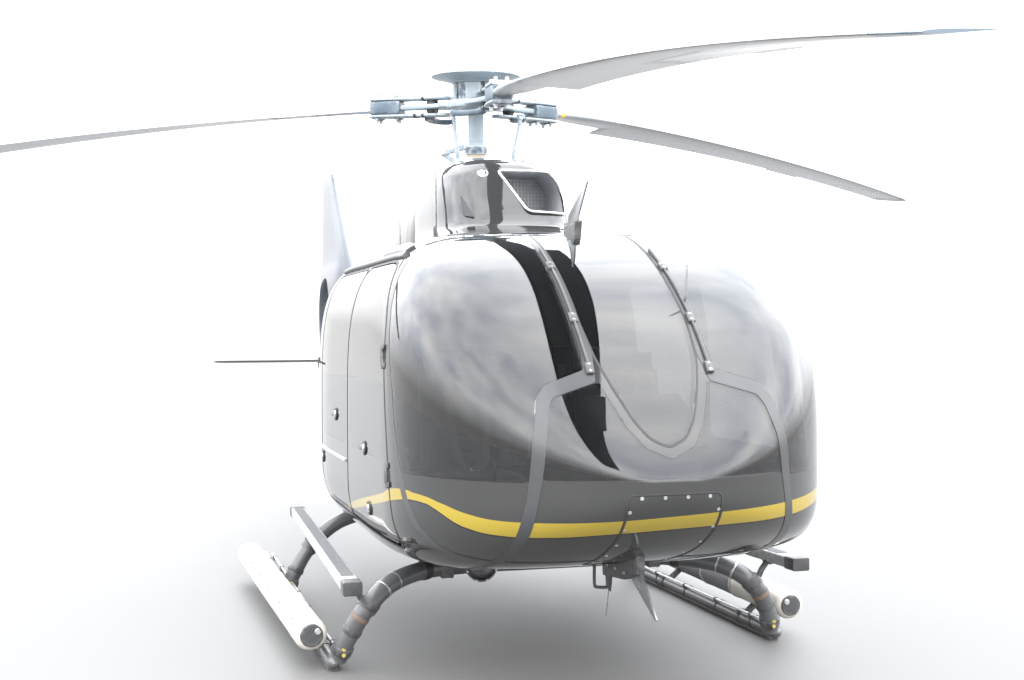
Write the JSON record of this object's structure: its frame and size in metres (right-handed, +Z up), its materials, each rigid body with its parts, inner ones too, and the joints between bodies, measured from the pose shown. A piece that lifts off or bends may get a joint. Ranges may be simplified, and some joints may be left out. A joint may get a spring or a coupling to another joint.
{
  "type": "light helicopter",
  "caption": "Light helicopter with a wide glazed cabin, hinged doors, drooping rotor blades, a shrouded tail fan, skids and stowed float packs.",
  "frame": {"origin": "middle of the footprint box, on the ground under the skids", "axes": "+Z up, nose towards -Y, the crew's left (port) side towards +X"},
  "size_m": [9.4006, 12.4394, 3.395],
  "materials": {
    "black_paint": "high gloss black paint",
    "grey_paint": "gloss grey paint",
    "tinted_acrylic": "clear, lightly tinted acrylic",
    "satin_black": "satin black paint",
    "seat_leather": "dark grey leather",
    "dark_metal": "dull dark steel",
    "cover_cloth": "coated cream and grey cloth",
    "blue_grey_metal": "blue-grey primer on aluminium",
    "blade_grey": "satin light grey paint on composite"
  },
  "bodies": {
    "airframe": {"cabin_frame": "black_paint", "nose_hatch": "black_paint", "rear_door_port": "black_paint", "rear_door_starboard": "black_paint", "rear_fuselage": "black_paint", "mast_fairing": "black_paint", "engine_cowl": "black_paint", "tail_boom": "black_paint", "fin_and_shroud": "grey_paint", "stabiliser": "grey_paint", "fan_support": "grey_paint", "windshield_centre": "tinted_acrylic", "lower_pane": "tinted_acrylic", "windshield_port": "tinted_acrylic", "windshield_starboard": "tinted_acrylic", "rear_door_pane_port": "tinted_acrylic", "rear_door_pane_starboard": "tinted_acrylic", "cabin_floor": "satin_black", "instrument_console": "satin_black", "front_cross_tube": "satin_black", "rear_cross_tube": "satin_black", "skid_port": "satin_black", "skid_starboard": "satin_black", "boarding_step_port": "satin_black", "boarding_step_starboard": "satin_black", "landing_light": "satin_black", "front_seat_port": "seat_leather", "front_seat_starboard": "seat_leather", "rear_bench": "seat_leather", "engine": "dark_metal", "exhaust_pipe": "dark_metal", "upper_cable_cutter": "dark_metal", "lower_cable_cutter": "dark_metal", "float_pack_port": "cover_cloth", "float_pack_starboard": "cover_cloth", "mast_base": "blue_grey_metal"},
    "main_rotor": {"rotor_mast": "blue_grey_metal", "hub_star": "blue_grey_metal", "hub_dish": "blue_grey_metal", "rotating_swashplate": "blue_grey_metal", "blade_sleeve_front": "blue_grey_metal", "blade_sleeve_port": "blue_grey_metal", "blade_sleeve_starboard": "blue_grey_metal", "rotor_blade_front": "blade_grey", "rotor_blade_port": "blade_grey", "rotor_blade_starboard": "blade_grey"},
    "tail_fan": {"fan_rotor": "dark_metal"},
    "front_door_port": {"front_door_port": "black_paint", "front_door_pane_port": "tinted_acrylic"},
    "front_door_starboard": {"front_door_starboard": "black_paint", "front_door_pane_starboard": "tinted_acrylic"},
    "bay_door_port": {"bay_door_port": "black_paint"},
    "bay_door_starboard": {"bay_door_starboard": "black_paint"}
  },
  "joints": [
    {"name": "main_rotor_spin", "type": "hinge", "parent": "airframe", "child": "main_rotor", "pos_m": [0.02403, -0.9003, 3.312], "axis": [-0.0086, -0.0407, 0.9991], "continuous": true},
    {"name": "tail_fan_spin", "type": "hinge", "parent": "airframe", "child": "tail_fan", "pos_m": [0.02403, 5.1947, 1.742], "axis": [1, 0, 0], "continuous": true},
    {"name": "front_door_port_hinge", "type": "hinge", "parent": "airframe", "child": "front_door_port", "pos_m": [1.06603, -3.2533, 1.29], "axis": [0, 0.1961, 0.9806], "range_deg": [-75, 0]},
    {"name": "front_door_starboard_hinge", "type": "hinge", "parent": "airframe", "child": "front_door_starboard", "pos_m": [-1.01797, -3.2533, 1.29], "axis": [0, 0.1961, 0.9806], "range_deg": [0, 75]},
    {"name": "bay_door_port_hinge", "type": "hinge", "parent": "airframe", "child": "bay_door_port", "pos_m": [0.98906, -0.51882, 1.483], "axis": [-0.1843, 0.9829, 0], "range_deg": [-90, 0]},
    {"name": "bay_door_starboard_hinge", "type": "hinge", "parent": "airframe", "child": "bay_door_starboard", "pos_m": [-0.94099, -0.51882, 1.483], "axis": [0.1843, 0.9829, 0], "range_deg": [0, 90]}
  ]
}
